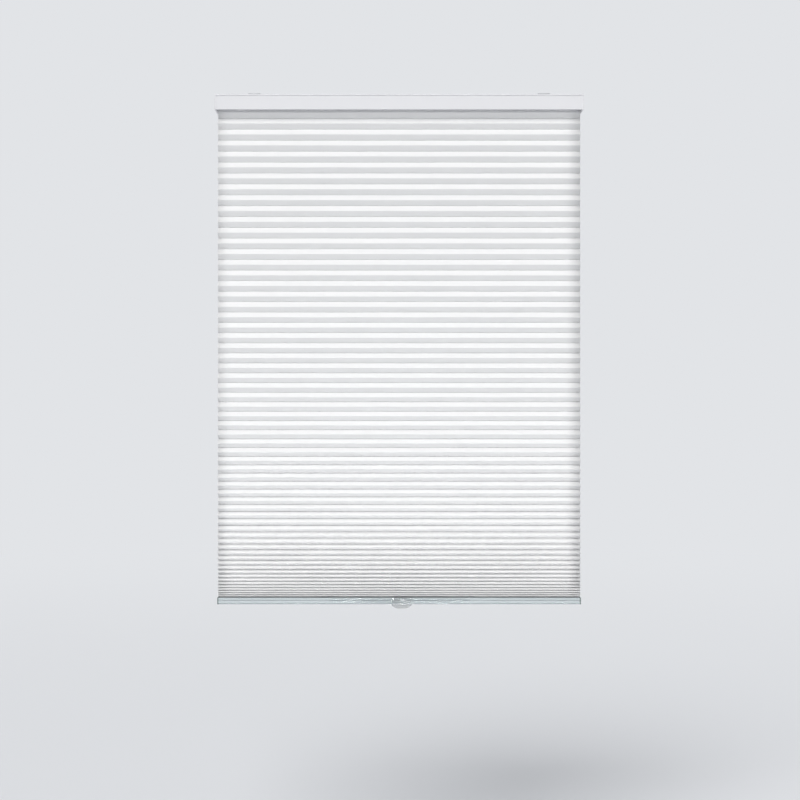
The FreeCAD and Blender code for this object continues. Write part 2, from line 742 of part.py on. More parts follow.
def make_strip(label, levels):
    """Moulded strip that holds the fabric in a rail's slot: (half width, low, high) steps."""
    body = new_body(label)
    for half, low, high in levels:
        step = new_sketch(body, "YZ_Plane")
        add_rectangle(step, f"-({half})", half, low, high)
        pad(body, step, "strip_length", both_ways=True)
    holes = new_sketch(body, "XY_Plane")
    add_circles(holes, [("-lift_spread / 2", "0"), ("lift_spread / 2", "0")], "strip_hole_radius")
    pocket(body, holes)


# ---------------------------------------------------------------- bottom rail
def make_bottom_rail():
    """Aluminium extrusion: a fabric slot above a closed chamber for the weight bar."""
    body = new_body("bottom_rail")
    face = "-rail_depth / 2"
    wall = f"({face} + rail_face_recess)"
    lip = f"({RAIL_TOP} - rail_lip)"
    front = [
        ("-slot_width / 2", RAIL_SLOT_FLOOR),
        ("-slot_width / 2", f"{RAIL_TOP} - rail_web"),
        ("-mouth_width / 2", f"{RAIL_TOP} - rail_web"),
        ("-mouth_width / 2", RAIL_TOP),
        (face, RAIL_TOP),
        (face, lip),
        (f"{face} + rail_groove_depth", lip),
        (f"{face} + rail_groove_depth", f"{lip} - rail_groove_height"),
        (wall, f"{lip} - rail_groove_height"),
        (wall, RAIL_BOTTOM),
    ]
    section = new_sketch(body, "YZ_Plane")
    add_polygon(section, mirrored(front))
    inside, narrow = f"({wall} + rail_wall)", f"({face} + rail_groove_depth + rail_wall)"
    chamber = [
        (inside, f"{RAIL_BOTTOM} + rail_wall"),
        (inside, RAIL_SHOULDER),
        (narrow, RAIL_SHOULDER),
        (narrow, CHAMBER_TOP),
    ]
    add_polygon(section, mirrored(chamber))
    pad(body, section, "rail_length", both_ways=True)
    holes = new_sketch(body, "XY_Plane", RAIL_TOP)
    add_circles(holes, [("-lift_spread / 2", "0"), ("lift_spread / 2", "0")], "anchor_stem_radius + 0.05")
    pocket(body, holes, f"-{CHAMBER_TOP} + {RAIL_TOP} + 0.1", both_ways=False)
    half, low = size("rail_depth") / 2, level(RAIL_BOTTOM)
    corners = [(side * (half - size("rail_face_recess")), low) for side in SIDES.values()]
    round_edges(body, "rail_corner_radius", lambda edge: along_x(edge, corners))
    lips = [(side * half, level(RAIL_TOP)) for side in SIDES.values()]
    round_edges(body, "rail_lip_radius", lambda edge: along_x(edge, lips))


def make_rail_cap(end, side):
    """Moulded end cap of the bottom rail: a plate and a hollow plug in the chamber."""
    body = new_body(f"bottom_rail_end_cap_{end}")
    at = f"{side} * rail_length / 2"
    half, over = "rail_depth / 2", "rail_cap_overhang"
    low, high = f"{RAIL_BOTTOM} - {over}", f"{RAIL_TOP} + {over}"
    plate = new_sketch(body, "YZ_Plane", at)
    add_rectangle(plate, f"-{half} - {over}", f"{half} + {over}", low, high)
    pad(body, plate, "rail_cap_thickness", backwards=side < 0)
    bottom = level(low)
    round_edges(
        body,
        "rail_corner_radius",
        lambda edge: edge.BoundBox.XLength > 1 and abs(edge.CenterOfMass.z - bottom) < 0.01
        and edge.BoundBox.YLength < 0.01,
    )
    outside = level(f"{at} + {side} * rail_cap_thickness")
    round_edges(body, "0.4", lambda edge: abs(edge.CenterOfMass.x - outside) < 0.01)
    room = "rail_depth / 2 - rail_face_recess - rail_wall - fit_gap"
    floor, roof = f"{RAIL_BOTTOM} + rail_wall + fit_gap", f"{RAIL_SHOULDER} - fit_gap"
    plug = new_sketch(body, "YZ_Plane", at)
    add_rectangle(plug, f"-({room})", room, floor, roof)
    skin = "rail_plug_wall"
    add_rectangle(plug, f"-({room} - {skin})", f"{room} - {skin}", f"{floor} + {skin}", f"{roof} - {skin}")
    pad(body, plug, "plug_length", backwards=side > 0)


def make_ballast_bar():
    """Flat steel bar that lies in the bottom rail's chamber and keeps the fabric taut."""
    bar = doc.addObject("Part::Box", "ballast_bar")
    bar.Label = "ballast_bar"
    bind(bar, "Length", "ballast_length")
    bind(bar, "Width", "ballast_width")
    bind(bar, "Height", "ballast_height")
    bind(bar, "Placement.Base.x", "-ballast_length / 2")
    bind(bar, "Placement.Base.y", "-ballast_width / 2")
    bind(bar, "Placement.Base.z", f"{RAIL_BOTTOM} + rail_wall")


def make_lift_handle():
    """Clear moulded clip over the rail's front, with a tapered tab to pull by."""
    body = new_body("lift_handle")
    back = "(-rail_depth / 2 - handle_gap)"
    front = f"({back} - handle_plate)"
    hook_under, foot_top = f"({RAIL_TOP} + 0.1)", f"({RAIL_BOTTOM} - 0.1)"
    tab_end = f"({RAIL_BOTTOM} - tab_drop)"
    section = new_sketch(body, "YZ_Plane")
    add_polygon(
        section,
        [
            (f"{back} + handle_hook_reach", hook_under),
            (f"{back} + handle_hook_reach", f"{hook_under} + handle_hook"),
            (front, f"{hook_under} + handle_hook"),
            (front, f"{RAIL_BOTTOM} + 0.6"),
            (f"{front} - tab_reach", tab_end),
            (f"{front} - tab_reach + 1.8", tab_end),
            (f"{back} + 0.4", f"{foot_top} - handle_foot"),
            (f"{back} + handle_foot_reach", f"{foot_top} - handle_foot"),
            (f"{back} + handle_foot_reach", foot_top),
            (back, foot_top),
            (back, hook_under),
        ],
    )
    pad(body, section, "handle_width", both_ways=True)
    taper_top = f"{foot_top} - handle_foot"
    for side in SIDES.values():
        corner = new_sketch(body, "XZ_Plane")
        add_polygon(
            corner,
            [
                (f"{side} * handle_width / 2", taper_top),
                (f"{side} * (handle_width / 2 + 2)", taper_top),
                (f"{side} * (handle_width / 2 + 2)", f"{tab_end} - 2"),
                (f"{side} * (tab_tip_width / 2 - tab_corner)", f"{tab_end} - 2"),
                (f"{side} * (tab_tip_width / 2 - tab_corner)", tab_end),
                (f"{side} * tab_tip_width / 2", f"{tab_end} + tab_corner"),
            ],
        )
        pocket(body, corner)
    shoulder = level(f"{tab_end} + tab_corner")
    round_edges(
        body,
        "1.5",
        lambda edge: abs(edge.CenterOfMass.z - shoulder) < 0.01 and edge.BoundBox.XLength < 0.01,
    )
    bind(body, "Placement.Base.x", "handle_offset")


make_headrail()
make_motor_housing()
make_motor_cover()
make_cover_screws()
make_drum("cord_spool_left", AXLES[0], "spool_core_radius", False)
make_drum("drive_drum", AXLES[1], "spring_core_radius", True)
make_drum("storage_drum", AXLES[2], "spring_core_radius", False)
make_drum("cord_spool_right", AXLES[3], "spool_core_radius", True)
make_power_spring()
for end, side in SIDES.items():
    make_headrail_cap(end, side)
    make_bracket(end, side)
    make_cord_guide(end, side)
    make_guide_pin(end, side)
    make_lift_cord(end, side)
    make_cord_anchor(end, side)
    make_rail_cap(end, side)
make_fabric()
make_strip("top_fabric_strip", [("strip_width / 2", STRIP_SEAT, f"{STRIP_SEAT} + strip_thickness")])
make_strip(
    "bottom_fabric_strip",
    [
        ("strip_width / 2", RAIL_SLOT_FLOOR, f"{RAIL_SLOT_FLOOR} + strip_thickness"),
        ("strip_ridge / 2", RAIL_SLOT_FLOOR, f"{RAIL_TOP} + rail_gap - ridge_gap"),
    ],
)
make_bottom_rail()
make_ballast_bar()
make_lift_handle()
doc.recompute()

# ---------------------------------------------------------------- checks and files
PIECES = [
    "headrail",
    "motor_housing",
    "motor_cover",
    "cover_screws",
    "drive_drum",
    "storage_drum",
    "power_spring",
    "cellular_fabric",
    "top_fabric_strip",
    "bottom_fabric_strip",
    "bottom_rail",
    "ballast_bar",
    "lift_handle",
]
PAIRED = [
    "headrail_end_cap",
    "mounting_bracket",
    "cord_spool",
    "cord_guide",
    "guide_pin",
    "lift_cord",
    "cord_anchor",
    "bottom_rail_end_cap",
]
PIECES += [f"{piece}_{end}" for piece in PAIRED for end in SIDES]

for thing in doc.Objects:
    if "Invalid" in thing.State or "Error" in thing.State:
        raise RuntimeError(f"{thing.Name} failed: {thing.State}")
for name in PIECES:
    shape = doc.getObject(name).Shape
    if shape.isNull() or not shape.isValid():
        raise RuntimeError(f"{name} has no valid shape")
    shape.exportStep(f"parts/{name}.step")
print(f"{len(PIECES)} pieces, fabric {size('fabric_height'):.1f} mm high")
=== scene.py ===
import math

import bmesh
import bpy
import numpy as np
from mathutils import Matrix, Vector


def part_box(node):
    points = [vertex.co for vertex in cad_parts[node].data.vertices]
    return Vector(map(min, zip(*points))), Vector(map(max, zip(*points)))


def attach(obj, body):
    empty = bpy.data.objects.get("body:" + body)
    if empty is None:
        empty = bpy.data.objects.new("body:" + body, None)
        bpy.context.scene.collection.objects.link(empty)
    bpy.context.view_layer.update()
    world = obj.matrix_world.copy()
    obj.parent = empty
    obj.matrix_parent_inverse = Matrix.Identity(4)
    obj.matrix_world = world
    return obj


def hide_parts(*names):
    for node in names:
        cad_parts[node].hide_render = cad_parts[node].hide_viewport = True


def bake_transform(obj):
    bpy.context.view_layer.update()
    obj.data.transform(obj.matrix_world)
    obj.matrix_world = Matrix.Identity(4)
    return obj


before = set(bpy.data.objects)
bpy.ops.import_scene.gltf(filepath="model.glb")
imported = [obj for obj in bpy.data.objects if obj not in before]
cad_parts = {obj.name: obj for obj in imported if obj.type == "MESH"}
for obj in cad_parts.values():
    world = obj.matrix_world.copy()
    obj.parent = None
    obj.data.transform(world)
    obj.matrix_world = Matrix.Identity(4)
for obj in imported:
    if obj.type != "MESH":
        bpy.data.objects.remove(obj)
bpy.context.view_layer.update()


# ------------------------------------------------------------------------------------------
# The view, the floor and the light. The camera stands level with the middle of the window
# opening, three metres into the room; the daylight of the room falls from above and in front.
MM = 0.001
sight_level = -497.5 * MM
sight_side = 1.5 * MM
sight_distance = 3.0
shown_width = 1.2976
floor_level = -1.30
floor_reach = 30.0
haze_start = 1.0
haze_end = 7.0
light_bounces = 24

# the pale surroundings, and the share of their brightness that falls on the shade
sky_glow = (0.76, 0.775, 0.80)
fill_share = 0.5

scene = bpy.context.scene
scene.view_settings.view_transform = "Standard"
headrail_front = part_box("headrail")[0].y

camera_data = bpy.data.cameras.new("room_view")
camera_data.sensor_width = 36.0
camera_data.lens = camera_data.sensor_width * sight_distance / shown_width
camera_data.clip_end = 100.0
camera = bpy.data.objects.new("room_view", camera_data)
camera.location = (sight_side, headrail_front - sight_distance, sight_level)
camera.rotation_euler = (math.radians(90.0), 0.0, 0.0)
scene.collection.objects.link(camera)
scene.camera = camera


def plain_material(name, colour, roughness):
    """A new material with one Principled shader; returns the material, its nodes, links and shader."""
    material = bpy.data.materials.new(name)
    material.use_nodes = True
    tree = material.node_tree
    shader = tree.nodes["Principled BSDF"]
    shader.inputs["Base Color"].default_value = (*colour, 1.0)
    shader.inputs["Roughness"].default_value = roughness
    return material, tree.nodes, tree.links, shader


def add_light(name, direction, spread, strength, colour):
    """Soft daylight from one direction: degrees round from the room side, and degrees up."""
    data = bpy.data.lights.new(name, "SUN")
    data.angle = math.radians(spread)
    data.energy = strength
    data.color = colour
    light = bpy.data.objects.new(name, data)
    around, up = (math.radians(angle) for angle in direction)
    source = Vector((math.sin(around) * math.cos(up), -math.cos(around) * math.cos(up), math.sin(up)))
    light.rotation_euler = (-source).to_track_quat("-Z", "Y").to_euler()
    scene.collection.objects.link(light)


def add_panel(name, place, tilt, size, spread, strength):
    """A rectangular soft light: where it stands, its tilt from straight down, and its beam's width."""
    data = bpy.data.lights.new(name, "AREA")
    data.shape = "RECTANGLE"
    data.size, data.size_y = size
    data.spread = math.radians(spread)
    data.energy = strength
    light = bpy.data.objects.new(name, data)
    light.location = place
    light.rotation_euler = (math.radians(tilt), 0.0, 0.0)
    scene.collection.objects.link(light)


floor_mesh = bpy.data.meshes.new("floor")
floor_corners = [
    (x * floor_reach, y * floor_reach, floor_level)
    for x, y in ((-1, -1), (1, -1), (1, 1), (-1, 1))
]
floor_mesh.from_pydata(floor_corners, [], [(0, 1, 2, 3)])
floor = bpy.data.objects.new("floor", floor_mesh)
scene.collection.objects.link(floor)
floor_paint, floor_nodes, floor_links, floor_shader = plain_material(
    "pale_floor", (0.72, 0.73, 0.75), 0.9
)
floor_place = floor_nodes.new("ShaderNodeTexCoord")
floor_distance = floor_nodes.new("ShaderNodeVectorMath")
floor_distance.operation = "LENGTH"
floor_fade = floor_nodes.new("ShaderNodeMapRange")
floor_fade.interpolation_type = "SMOOTHSTEP"
floor_fade.inputs["From Min"].default_value = haze_start
floor_fade.inputs["From Max"].default_value = haze_end
floor_haze = floor_nodes.new("ShaderNodeEmission")
floor_haze.inputs["Color"].default_value = (*sky_glow, 1.0)
floor_sight = floor_nodes.new("ShaderNodeLightPath")
floor_haze_share = floor_nodes.new("ShaderNodeMapRange")
floor_haze_share.inputs["To Min"].default_value = fill_share
floor_mix = floor_nodes.new("ShaderNodeMixShader")
floor_links.new(floor_place.outputs["Object"], floor_distance.inputs[0])
floor_links.new(floor_distance.outputs["Value"], floor_fade.inputs["Value"])
floor_links.new(floor_fade.outputs["Result"], floor_mix.inputs["Fac"])
floor_links.new(floor_shader.outputs[0], floor_mix.inputs[1])
floor_links.new(floor_haze.outputs[0], floor_mix.inputs[2])
floor_links.new(floor_mix.outputs[0], floor_nodes["Material Output"].inputs["Surface"])
floor_links.new(floor_sight.outputs["Is Camera Ray"], floor_haze_share.inputs["Value"])
floor_links.new(floor_haze_share.outputs["Result"], floor_haze.inputs["Strength"])
floor_mesh.materials.append(floor_paint)

surroundings = bpy.data.worlds.new("soft_daylight")
surroundings.use_nodes = True
sky_nodes, sky_links = surroundings.node_tree.nodes, surroundings.node_tree.links
sky_nodes["Background"].inputs["Color"].default_value = (*sky_glow, 1.0)
sky_sight = sky_nodes.new("ShaderNodeLightPath")
sky_strength = sky_nodes.new("ShaderNodeMapRange")
sky_strength.inputs["To Min"].default_value = fill_share
sky_links.new(sky_sight.outputs["Is Camera Ray"], sky_strength.inputs["Value"])
sky_links.new(sky_strength.outputs["Result"], sky_nodes["Background"].inputs["Strength"])
scene.world = surroundings
scene.cycles.max_bounces = light_bounces
scene.cycles.diffuse_bounces = light_bounces
scene.cycles.transmission_bounces = light_bounces

# the room's daylight from the upper left, its ceiling, the window behind the shade, and what the
# sill and the low part of the room send back up to the last cells
add_light("room_daylight", (-15.0, 38.0), 30.0, 1.85, (1.0, 0.995, 0.985))
add_light("ceiling_glow", (10.0, 75.0), 60.0, 0.25, (1.0, 1.0, 1.0))
add_light("window_daylight", (165.0, 35.0), 50.0, 0.8, (0.97, 0.985, 1.0))
add_panel("sill_bounce", (0.0, -0.45, -1.15), 140.0, (1.0, 0.4), 180.0, 1.0)
add_panel("low_strip", (0.0, -1.9, -0.945), 92.5, (0.9, 0.06), 11.0, 0.13)


# ------------------------------------------------------------------------------------------
# Lift cords: thin cords of three twisted polyester strands. Each leaves its spool, runs level
# to its guide pin, bends down over it and hangs through the cells to a knot under its anchor.
cord_radius = 0.45 * MM
cord_lay = 5.0 * MM
cord_step = 0.8 * MM
strand_count = 3
strand_corners = 4
strand_depth = 0.09
spool_wrap = 11.5 * MM
pin_wrap = 2.5 * MM
wrap_turn = math.radians(300)
wrap_steps = 60
bend_steps = 10
knot_radius = 1.4 * MM
knot_steps = 48


def new_tree(name, inputs):
    """An empty Geometry Nodes tree with a Geometry socket each way and the named inputs."""
    tree = bpy.data.node_groups.new(name, "GeometryNodeTree")
    tree.interface.new_socket("Geometry", in_out="INPUT", socket_type="NodeSocketGeometry")
    for label, kind in inputs:
        tree.interface.new_socket(label, in_out="INPUT", socket_type=kind)
    tree.interface.new_socket("Geometry", in_out="OUTPUT", socket_type="NodeSocketGeometry")
    return tree, tree.nodes.new("NodeGroupInput"), tree.nodes.new("NodeGroupOutput")


def run_tree(name, source, tree, values, extra=None):
    """Runs a tree on a curve or mesh and returns the result as a plain mesh object."""
    carrier = bpy.data.objects.new(name + "_carrier", source)
    scene.collection.objects.link(carrier)
    modifier = carrier.modifiers.new(tree.name, "NODES")
    modifier.node_group = tree
    for socket in tree.interface.items_tree:
        if socket.item_type == "SOCKET" and socket.in_out == "INPUT" and socket.name in values:
            modifier[socket.identifier] = values[socket.name]
    if extra:
        extra(carrier)
    evaluated = carrier.evaluated_get(bpy.context.evaluated_depsgraph_get())
    mesh = bpy.data.meshes.new_from_object(evaluated)
    mesh.name = name
    piece = bpy.data.objects.new(name, mesh)
    scene.collection.objects.link(piece)
    carrier.modifiers.clear()
    bpy.data.objects.remove(carrier)
    return piece


def calculate(tree, operation, *operands):
    """One Math node; an operand is a number or another node's socket."""
    node = tree.nodes.new("ShaderNodeMath")
    node.operation = operation
    for socket, operand in zip(node.inputs, operands):
        if isinstance(operand, (int, float)):
            socket.default_value = operand
        else:
            tree.links.new(operand, socket)
    return node.outputs[0]


def make_cord_tree():
    """A three-strand cord laid along the curve that it is given."""
    tree, given, result = new_tree(
        "twisted_cord",
        [
            ("Cord Radius", "NodeSocketFloat"),
            ("Lay", "NodeSocketFloat"),
            ("Step", "NodeSocketFloat"),
            ("Finish", "NodeSocketMaterial"),
        ],
    )
    even = tree.nodes.new("GeometryNodeResampleCurve")
    even.mode = "LENGTH"
    tree.links.new(given.outputs["Geometry"], even.inputs["Curve"])
    tree.links.new(given.outputs["Step"], even.inputs["Length"])
    along = tree.nodes.new("GeometryNodeSplineParameter")
    tilt = tree.nodes.new("GeometryNodeSetCurveTilt")
    turns = calculate(tree, "DIVIDE", along.outputs["Length"], given.outputs["Lay"])
    tree.links.new(even.outputs["Curve"], tilt.inputs["Curve"])
    tree.links.new(calculate(tree, "MULTIPLY", turns, math.tau), tilt.inputs["Tilt"])
    ring = tree.nodes.new("GeometryNodeCurvePrimitiveCircle")
    ring.inputs["Resolution"].default_value = strand_count * strand_corners
    tree.links.new(given.outputs["Cord Radius"], ring.inputs["Radius"])
    corner = tree.nodes.new("GeometryNodeInputIndex")
    strand_angle = calculate(tree, "MULTIPLY", corner.outputs[0], math.tau / strand_corners)
    lobe = calculate(tree, "COSINE", strand_angle)
    swell = calculate(tree, "ADD", calculate(tree, "MULTIPLY", lobe, strand_depth), 1.0 - strand_depth)
    place = tree.nodes.new("GeometryNodeInputPosition")
    scaled = tree.nodes.new("ShaderNodeVectorMath")
    scaled.operation = "SCALE"
    tree.links.new(place.outputs[0], scaled.inputs[0])
    tree.links.new(swell, scaled.inputs["Scale"])
    strands = tree.nodes.new("GeometryNodeSetPosition")
    tree.links.new(ring.outputs["Curve"], strands.inputs["Geometry"])
    tree.links.new(scaled.outputs[0], strands.inputs["Position"])
    tube = tree.nodes.new("GeometryNodeCurveToMesh")
    tube.inputs["Fill Caps"].default_value = True
    tree.links.new(tilt.outputs["Curve"], tube.inputs["Curve"])
    tree.links.new(strands.outputs["Geometry"], tube.inputs["Profile Curve"])
    realize = tree.nodes.new("GeometryNodeRealizeInstances")
    finish = tree.nodes.new("GeometryNodeSetMaterial")
    tree.links.new(tube.outputs["Mesh"], realize.inputs["Geometry"])
    tree.links.new(realize.outputs["Geometry"], finish.inputs["Geometry"])
    tree.links.new(given.outputs["Finish"], finish.inputs["Material"])
    tree.links.new(finish.outputs["Geometry"], result.inputs["Geometry"])
    return tree


def cord_line(side):
    """The middle line of one lift cord: spool turn, level run, bend over the pin, drop."""
    spool_low, spool_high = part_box("cord_spool_left" if side < 0 else "cord_spool_right")
    cord_low, cord_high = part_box("lift_cord_left" if side < 0 else "lift_cord_right")
    level = cord_high.z - cord_radius
    spool = Vector(((spool_low.x + spool_high.x) / 2, 0.0, level))
    drop = Vector((side * (max(abs(cord_low.x), abs(cord_high.x)) - knot_radius), 0.0, level))
    skew = math.asin(spool_wrap / (drop - spool).length)
    run = Vector((side * math.cos(skew), math.sin(skew), 0.0))
    leave = spool + Vector((side * math.sin(skew), -math.cos(skew), 0.0)) * spool_wrap
    first_angle = math.atan2(leave.y - spool.y, leave.x - spool.x)
    line = []
    for step in range(wrap_steps, 0, -1):
        angle = first_angle - side * wrap_turn * step / wrap_steps
        line.append(spool + Vector((math.cos(angle), math.sin(angle), 0.0)) * spool_wrap)
    line.append(leave)
    over = drop - run * pin_wrap
    for step in range(bend_steps + 1):
        bend = math.radians(90 * step / bend_steps)
        forward = run * pin_wrap * math.sin(bend)
        line.append(over + forward - Vector((0, 0, pin_wrap)) * (1 - math.cos(bend)))
    line.append(Vector((drop.x, 0.0, cord_low.z + knot_radius)))
    return line


def knot_line(centre):
    """A small overhand knot, drawn tight: one closed loop that passes through itself."""
    reach = (knot_radius - cord_radius) / 3
    angles = [math.tau * step / knot_steps for step in range(knot_steps + 1)]
    return [
        centre
        + Vector((
            (math.sin(angle) + 2 * math.sin(2 * angle)) * reach,
            (math.cos(angle) - 2 * math.cos(2 * angle)) * reach,
            -math.sin(3 * angle) * reach * 2,
        ))
        for angle in angles
    ]


def line_curve(name, lines):
    """A curve of straight-run splines, one for each list of points."""
    curve = bpy.data.curves.new(name, "CURVE")
    curve.dimensions = "3D"
    for line in lines:
        spline = curve.splines.new("POLY")
        spline.points.add(len(line) - 1)
        for point, place in zip(spline.points, line):
            point.co = (*place, 1.0)
    return curve


cord_polyester, cord_nodes, cord_links, cord_shader = plain_material(
    "cord_polyester", (0.86, 0.86, 0.84), 0.62
)
cord_shader.inputs["Sheen Weight"].default_value = 0.25
cord_place = cord_nodes.new("ShaderNodeTexCoord")
cord_fibre = cord_nodes.new("ShaderNodeTexNoise")
cord_fibre.inputs["Scale"].default_value = 5200.0
cord_fibre.inputs["Detail"].default_value = 3.0
cord_tint = cord_nodes.new("ShaderNodeMixRGB")
cord_tint.inputs["Color1"].default_value = (0.90, 0.90, 0.88, 1.0)
cord_tint.inputs["Color2"].default_value = (0.74, 0.74, 0.71, 1.0)
cord_bump = cord_nodes.new("ShaderNodeBump")
cord_bump.inputs["Strength"].default_value = 0.5
cord_bump.inputs["Distance"].default_value = 0.06 * MM
cord_links.new(cord_place.outputs["Object"], cord_fibre.inputs["Vector"])
cord_links.new(cord_fibre.outputs["Fac"], cord_tint.inputs["Fac"])
cord_links.new(cord_tint.outputs["Color"], cord_shader.inputs["Base Color"])
cord_links.new(cord_fibre.outputs["Fac"], cord_bump.inputs["Height"])
cord_links.new(cord_bump.outputs["Normal"], cord_shader.inputs["Normal"])

cord_tree = make_cord_tree()
cords = {}
for end, side in (("left", -1), ("right", 1)):
    line = cord_line(side)
    source = line_curve("cord_path_" + end, [line, knot_line(line[-1])])
    settings = {"Cord Radius": cord_radius, "Lay": cord_lay, "Step": cord_step, "Finish": cord_polyester}
    cords[end] = run_tree("drawn_lift_cord_" + end, source, cord_tree, settings)


def follow_rail(piece):
    """Bakes a piece's placing into its mesh and reads out its points; it does not stretch or gather the
    piece.
    """
    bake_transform(piece)
    height = np.zeros(len(piece.data.vertices) * 3)
    piece.data.vertices.foreach_get("co", height)


for end, piece in cords.items():
    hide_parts("lift_cord_" + end)
    follow_rail(piece)


# ------------------------------------------------------------------------------------------
# Headrail: an aluminium extrusion with a white powder coat, cut to length. The coat is a fine
# orange peel over faint lines that the extrusion die leaves along the rail.
def make_surface_group():
    """Shader group: slow colour drift, fine grain, and lines along one axis, all as masks."""
    group = bpy.data.node_groups.new("surface_grain", "ShaderNodeTree")
    face = group.interface
    face.new_socket("Vector", in_out="INPUT", socket_type="NodeSocketVector")
    usual = {"Drift Scale": 12.0, "Grain Scale": 2500.0, "Line Scale": 900.0, "Line Share": 0.4}
    for label, value in usual.items():
        socket = face.new_socket(label, in_out="INPUT", socket_type="NodeSocketFloat")
        socket.default_value = value
    for label in ("Drift", "Grain", "Height"):
        face.new_socket(label, in_out="OUTPUT", socket_type="NodeSocketFloat")
    given, result = group.nodes.new("NodeGroupInput"), group.nodes.new("NodeGroupOutput")
    drift = group.nodes.new("ShaderNodeTexNoise")
    drift.inputs["Detail"].default_value = 4.0
    grain = group.nodes.new("ShaderNodeTexNoise")
    grain.inputs["Detail"].default_value = 2.0
    stretch = group.nodes.new("ShaderNodeVectorMath")
    stretch.operation = "MULTIPLY"
    stretch.inputs[1].default_value = (0.01, 1.0, 1.0)
    lines = group.nodes.new("ShaderNodeTexNoise")
    lines.inputs["Detail"].default_value = 3.0
    height = group.nodes.new("ShaderNodeMix")
    link = group.links.new
    for texture, scale in ((drift, "Drift Scale"), (grain, "Grain Scale"), (lines, "Line Scale")):
        link(given.outputs[scale], texture.inputs["Scale"])
    link(given.outputs["Vector"], drift.inputs["Vector"])
    link(given.outputs["Vector"], grain.inputs["Vector"])
    link(given.outputs["Vector"], stretch.inputs[0])
    link(stretch.outputs[0], lines.inputs["Vector"])
    link(given.outputs["Line Share"], height.inputs[0])
    link(grain.outputs["Fac"], height.inputs[2])
    link(lines.outputs["Fac"], height.inputs[3])
    link(drift.outputs["Fac"], result.inputs["Drift"])
    link(grain.outputs["Fac"], result.inputs["Grain"])
    link(height.outputs[0], result.inputs["Height"])
    return group


surface_grain = make_surface_group()


def grained_material(name, light, dark, roughness, bump, along="X", **scales):
    """A finish whose colour and roughness drift a little between two tones, over a fine grain.

    roughness is the lowest and highest value, bump its strength and depth, and along the axis
    that drawn or extruded lines follow.
    """
    material, nodes, links, shader = plain_material(name, light, roughness[0])
    place = nodes.new("ShaderNodeTexCoord")
    turn = nodes.new("ShaderNodeMapping")
    turns = {"X": (0, 0, 0), "Y": (0, 0, math.pi / 2), "Z": (0, math.pi / 2, 0)}
    turn.inputs["Rotation"].default_value = turns[along]
    grain = nodes.new("ShaderNodeGroup")
    grain.node_tree = surface_grain
    for label, value in scales.items():
        grain.inputs[label.replace("_", " ").title()].default_value = value
    tone = nodes.new("ShaderNodeMixRGB")
    tone.inputs["Color1"].default_value = (*dark, 1.0)
    tone.inputs["Color2"].default_value = (*light, 1.0)
    gloss = nodes.new("ShaderNodeMapRange")
    gloss.inputs["To Min"].default_value, gloss.inputs["To Max"].default_value = roughness
    relief = nodes.new("ShaderNodeBump")
    relief.inputs["Strength"].default_value, relief.inputs["Distance"].default_value = bump
    links.new(place.outputs["Object"], turn.inputs["Vector"])
    links.new(turn.outputs["Vector"], grain.inputs["Vector"])
    links.new(grain.outputs["Drift"], tone.inputs["Fac"])
    links.new(tone.outputs["Color"], shader.inputs["Base Color"])
    links.new(grain.outputs["Grain"], gloss.inputs["Value"])
    links.new(gloss.outputs["Result"], shader.inputs["Roughness"])
    links.new(grain.outputs["Height"], relief.inputs["Height"])
    links.new(relief.outputs["Normal"], shader.inputs["Normal"])
    return material, shader


def finish_node(name, material):
    """Gives a carried-over CAD node its material."""
    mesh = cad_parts[name].data
    mesh.materials.clear()
    mesh.materials.append(material)


white_coat, white_coat_shader = grained_material(
    "white_powder_coat", (0.83, 0.83, 0.85), (0.80, 0.80, 0.82), (0.34, 0.46), (0.25, 0.05 * MM),
    drift_scale=6.0, grain_scale=1800.0, line_scale=1400.0, line_share=0.35,
)
white_coat_shader.inputs["Coat Weight"].default_value = 0.15
white_coat_shader.inputs["Coat Roughness"].default_value = 0.3
finish_node("headrail", white_coat)


# ------------------------------------------------------------------------------------------
# Headrail end caps: white moulded plugs pressed into the rail's cut ends. The steel of their
# mould was spark eroded, which leaves a fine matt texture.
white_cap, _ = grained_material(
    "white_cap_plastic", (0.84, 0.84, 0.86), (0.80, 0.80, 0.82), (0.42, 0.58), (0.30, 0.06 * MM),
    drift_scale=20.0, grain_scale=2600.0, line_scale=400.0, line_share=0.0,
)
for end in ("left", "right"):
    finish_node("headrail_end_cap_" + end, white_cap)


# ------------------------------------------------------------------------------------------
# Mounting brackets: sprung steel strip, bent to shape and zinc plated. They are screwed up into
# the window head, and the headrail's top lips snap over them.
zinc_plate, zinc_shader = grained_material(
    "zinc_plated_steel", (0.66, 0.67, 0.68), (0.52, 0.53, 0.56), (0.26, 0.44), (0.2, 0.03 * MM),
    along="Y", drift_scale=90.0, grain_scale=3200.0, line_scale=2600.0, line_share=0.6,
)
zinc_shader.inputs["Metallic"].default_value = 1.0
for end in ("left", "right"):
    finish_node("mounting_bracket_" + end, zinc_plate)


